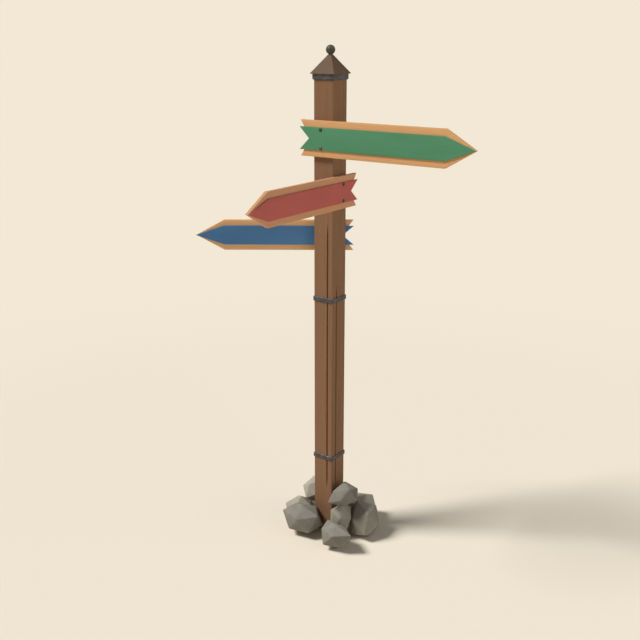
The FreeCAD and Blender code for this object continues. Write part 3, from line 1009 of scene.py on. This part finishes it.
@dataclass
class StoneHeap:
    """The heap round the foot: broken stones, each a faceted solid with worn edges."""

    divisions: int = 20
    wear_passes: int = 2
    wear_share: float = 0.45
    relief: float = 0.6 * MM
    relief_width: float = 45 * MM
    relief_octaves: int = 4
    first_seed: int = 11
    crease: float = 24.0
    leaning: str = "right_rear_stone"
    lean_way: Vector = (-0.815, -0.58, 0.0)
    lean_reach: float = 34 * MM

    def lean_in(self, corners: Array) -> Array:
        """Draws a stone's hidden side out towards its neighbours, to close the heap.

        With s the distance from the stone's middle along the way of the lean, as a share of
        its greatest, a corner moves along that way by the reach times s wherever s > 0.

        Args:
            corners: The stone's corners.

        Returns:
            The moved corners.
        """
        way = np.array(self.lean_way)
        share = (corners - corners.mean(axis=0)) @ way
        share = np.clip(share / share.max(), 0.0, 1.0)
        return corners + share[:, None] * way * self.lean_reach

    def facet_grid(self) -> tuple[Array, Array]:
        """The shares of a facet's three corners at each point of its grid, and its triangles."""
        steps = self.divisions
        i, j = np.meshgrid(np.arange(steps + 1), np.arange(steps + 1), indexing="ij")
        inside = i + j <= steps
        number = np.full(inside.shape, -1)
        number[inside] = np.arange(inside.sum())
        i, j = i[inside], j[inside]
        shares = np.stack([steps - i - j, i, j], axis=1) / steps
        near, inner = i + j < steps, i + j < steps - 1
        a, b = i[near], j[near]
        first = np.stack([number[a, b], number[a + 1, b], number[a, b + 1]], axis=1)
        a, b = i[inner], j[inner]
        second = np.stack([number[a + 1, b], number[a + 1, b + 1], number[a, b + 1]], axis=1)
        return shares, np.vstack([first, second])

    def facets(self, node: str) -> tuple[Array, Array]:
        """A stone's flat facets as fine grids with merged edges.

        Each facet is a grid of two parameters, P = A + s (B - A) + t (C - A).

        Args:
            node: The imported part.

        Returns:
            The points and the triangles.
        """
        corners, triangles = node_mesh(node)
        if node == self.leaning:
            corners = self.lean_in(corners)
        shares, pattern = self.facet_grid()
        dense = np.einsum("pc,tcd->tpd", shares, corners[triangles]).reshape(-1, 3)
        start = np.arange(len(triangles)) * len(shares)
        faces = (pattern[None] + start[:, None, None]).reshape(-1, 3)
        flat = np.round(dense, WELD_DECIMALS)
        _, kept, index = np.unique(flat, axis=0, return_index=True, return_inverse=True)
        return flat[kept], index.reshape(-1)[faces]

    def wear(self, points: Array, faces: Array) -> Array:
        """Rounds edges: each point moves part of the way to the mean of its neighbours."""
        pairs = np.vstack([faces[:, [0, 1]], faces[:, [1, 2]], faces[:, [2, 0]]])
        pairs = np.vstack([pairs, pairs[:, ::-1]])
        count = np.bincount(pairs[:, 0], minlength=len(points))[:, None]
        for _ in range(self.wear_passes):
            total = np.zeros_like(points)
            np.add.at(total, pairs[:, 0], points[pairs[:, 1]])
            points = points + self.wear_share * (total / count - points)
        return points

    def roughen(self, points: Array, seed: int) -> Array:
        """Moves each point towards the stone's middle by a seeded relief."""
        outward = points - points.mean(axis=0)
        outward /= np.linalg.norm(outward, axis=1)[:, None]
        rough = 0.5 + 0.5 * ripple(points, self.relief_width, seed, self.relief_octaves)
        return points - outward * (rough * self.relief)[:, None]

    def facing_up(self, points: Array, faces: Array) -> Array:
        """How far each point faces up, from 0 on the sides and below to 1 on top."""
        sides = points[faces]
        normal = np.cross(sides[:, 1] - sides[:, 0], sides[:, 2] - sides[:, 0])
        summed = np.zeros_like(points)
        for corner in range(3):
            np.add.at(summed, faces[:, corner], normal)
        return np.clip(summed[:, 2] / np.linalg.norm(summed, axis=1), 0.0, 1.0)

    def build(self, finish: StoneFinish) -> None:
        """Builds every stone of the heap."""
        material = finish.material()
        nodes = sorted(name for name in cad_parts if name.endswith("_stone"))
        for seed, node in enumerate(nodes, start=self.first_seed):
            points, faces = self.facets(node)
            points = self.roughen(self.wear(points, faces), seed)
            # Painted light: the stone's share of lightening towards the pale colour, passed on as
            # the tone attribute
            tone = np.full(len(points), STONE_PAINTED_LIGHT.get(node, 0.0))
            marks = {"dust": self.facing_up(points, faces), "tone": tone}
            name = node.replace("_stone", "_rock")
            surface = (points, faces.tolist())
            add_piece(name, surface, material, node, marks, self.crease)


@dataclass
class Woodwork:
    """The post and its cap, and the three arms with the screws that hold them."""

    post: TimberFinish
    cap: TimberFinish
    board: TimberFinish
    screw_iron: IronFinish
    arms: tuple[Arm, ...]

    def dress(self, node: str, timber: TimberFinish) -> None:
        """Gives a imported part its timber, with the grain upright."""
        material = timber.material(Grain.UP)
        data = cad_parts[node].data
        data.materials.clear()
        data.materials.append(material)
        LOG.info("%s: dressed as %s", node, material.name)

    def build(self) -> None:
        """Dresses the post and the cap and builds the arms with their screws."""
        self.dress("post", self.post)
        self.dress("cap", self.cap)
        screw = CoachScrew()
        made = [one for arm in self.arms for one in arm.build(self.board, screw)]
        points, faces = [], []
        for spots, sides in made:
            start = sum(len(earlier) for earlier in points)
            faces += [[corner + start for corner in side] for side in sides]
            points.append(spots)
        surface = (np.vstack(points), faces)
        iron = self.screw_iron
        add_piece("screws", surface, iron.material(), "arm_screws")


# The studio


@dataclass(frozen=True)
class Lamp:
    """A distant lamp: its strength, its apparent width, and where it stands.

    The turn is counted about the sign from the camera's right, and the height from the floor.
    """

    name: str
    energy: float
    width: float
    turn: float
    height: float


@dataclass
class Studio:
    """The pale floor, the backdrop, the lamps and the camera."""

    pale: Colour = (0.888, 0.807, 0.666)
    floor_colour: Colour = (0.866, 0.78, 0.642)
    floor_roughness: float = 0.95
    floor_grain: Noise = Noise(300.0, 2.0)
    floor_relief: float = 0.02 * MM
    floor_half: float = 60.0
    floor_points: int = 9
    fade_band: Band = (2.6, 5.5)
    sky: float = 0.15
    lamps: tuple[Lamp, ...] = (
        Lamp("key", energy=3.2, width=17.0, turn=186.5, height=50.0),
        Lamp("fill", energy=0.86, width=70.0, turn=-30.0, height=12.0),
    )
    view_turn: float = 35.419
    camera_place: Vector = (2.6994, -3.7958, 2.765)
    camera_turn: Vector = (72.321, 0.0, 36.072)
    lens: float = 50.006
    view_end: float = 300.0

    def floor(self) -> None:
        """A wide level floor that fades into the backdrop's colour far from the sign."""
        shader = Shader("studio_floor")
        where = shader.place()
        far = shader.step(shader.length(where), self.fade_band)
        grain = shader.noise(self.floor_grain, where)
        shader.finish(self.floor_colour, self.floor_roughness, grain, self.floor_relief, 0.0)
        glow = shader.node("ShaderNodeEmission", {"Color": self.pale, "Strength": 1.0})
        both = shader.either(far * shader.seen(), shader.surface, glow)
        shader.feed(shader.output, "Surface", both)
        steps = np.linspace(-self.floor_half, self.floor_half, self.floor_points)
        x, y = np.meshgrid(steps, steps, indexing="ij")
        points = np.stack([x, y, 0.0 * x], axis=-1).reshape(-1, 3)
        faces = grid_quads(self.floor_points, self.floor_points).tolist()
        add_mesh("studio_floor", (points, faces), shader.material)

    def world(self) -> None:
        """Even white light from all round, seen as the pale backdrop."""
        world = bpy.data.worlds.new("studio")
        bpy.context.scene.world = world
        world.use_nodes = True
        nodes = Nodes(world.node_tree)
        white, kind = (1.0, 1.0, 1.0), "ShaderNodeBackground"
        light = nodes.node(kind, {"Color": white, "Strength": self.sky})
        backdrop = nodes.node(kind, {"Color": self.pale, "Strength": 1.0})
        both = nodes.either(nodes.seen(), light, backdrop)
        nodes.node("ShaderNodeOutputWorld", {"Surface": both})

    def light(self, lamp: Lamp) -> None:
        """Sets up one lamp."""
        data = bpy.data.lights.new(lamp.name, "SUN")
        data.energy = lamp.energy
        data.angle = math.radians(lamp.width)
        heading = math.radians(lamp.turn + self.view_turn)
        tilt = math.radians(90.0 - lamp.height)
        link(lamp.name, data).rotation_euler = (0.0, tilt, heading)

    def camera(self) -> None:
        """The camera, where the photograph's stood."""
        data = bpy.data.cameras.new("camera")
        data.lens = self.lens
        data.clip_end = self.view_end
        piece = link("camera", data)
        piece.location = self.camera_place
        piece.rotation_euler = tuple(math.radians(a) for a in self.camera_turn)
        bpy.context.scene.camera = piece

    def build(self) -> None:
        """Sets up the camera, the floor and the light."""
        bpy.context.scene.view_settings.view_transform = "Standard"
        self.camera()
        self.floor()
        self.world()
        for lamp in self.lamps:
            self.light(lamp)


def main() -> None:
    """Builds the studio and the sign."""
    logging.basicConfig(level=logging.INFO, format="%(message)s")
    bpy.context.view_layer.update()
    Studio().build()
    Ironwork().build(
        IronFinish("black_iron", colour=(0.064, 0.059, 0.061), bright=(0.11, 0.1, 0.1)),
        IronFinish("finial_iron", colour=(0.06, 0.055, 0.04), bright=(0.1, 0.092, 0.07)),
    )
    # The last colour given to the stone finish is painted light for the listed stones
    StoneHeap().build(
        StoneFinish(
            "grey_stone", colour=(0.24, 0.222, 0.186), pale=(0.31, 0.29, 0.243),
            dark=(0.195, 0.18, 0.151), painted_light_colour=(0.5, 0.46, 0.37),
        )
    )
    green = PaintFinish("green_paint", (0.079, 0.262, 0.136))
    red = PaintFinish("red_paint", (0.47, 0.102, 0.082))
    blue = PaintFinish("blue_paint", (0.07, 0.206, 0.435))
    upper = Arm("upper_arm", 0.0, 1, green)
    # Painted shade on the middle arm's timber and painted light on the lower arm's, through their
    # colour multipliers
    middle = Arm("middle_arm", 90.0, -1, red, painted_light_shade_tint=(0.88, 0.83, 1.02))
    lower = Arm("lower_arm", 35.4, -1, blue, (1.2, 1.34, 1.55), 3.7 * MM, from_behind=True)
    Woodwork(
        post=TimberFinish("post_timber", (0.258, 0.139, 0.075), (0.204, 0.106, 0.055)),
        cap=TimberFinish("cap_timber", (0.165, 0.103, 0.064), (0.133, 0.081, 0.05)),
        board=TimberFinish(
            "board_timber", (0.72, 0.41, 0.187), (0.58, 0.29, 0.12), heart=(0.35, 0.2)
        ),
        screw_iron=IronFinish("screw_iron", (0.05, 0.045, 0.035), (0.1, 0.09, 0.075)),
        arms=(upper, middle, lower),
    ).build()


if __name__ == "__main__":
    main()
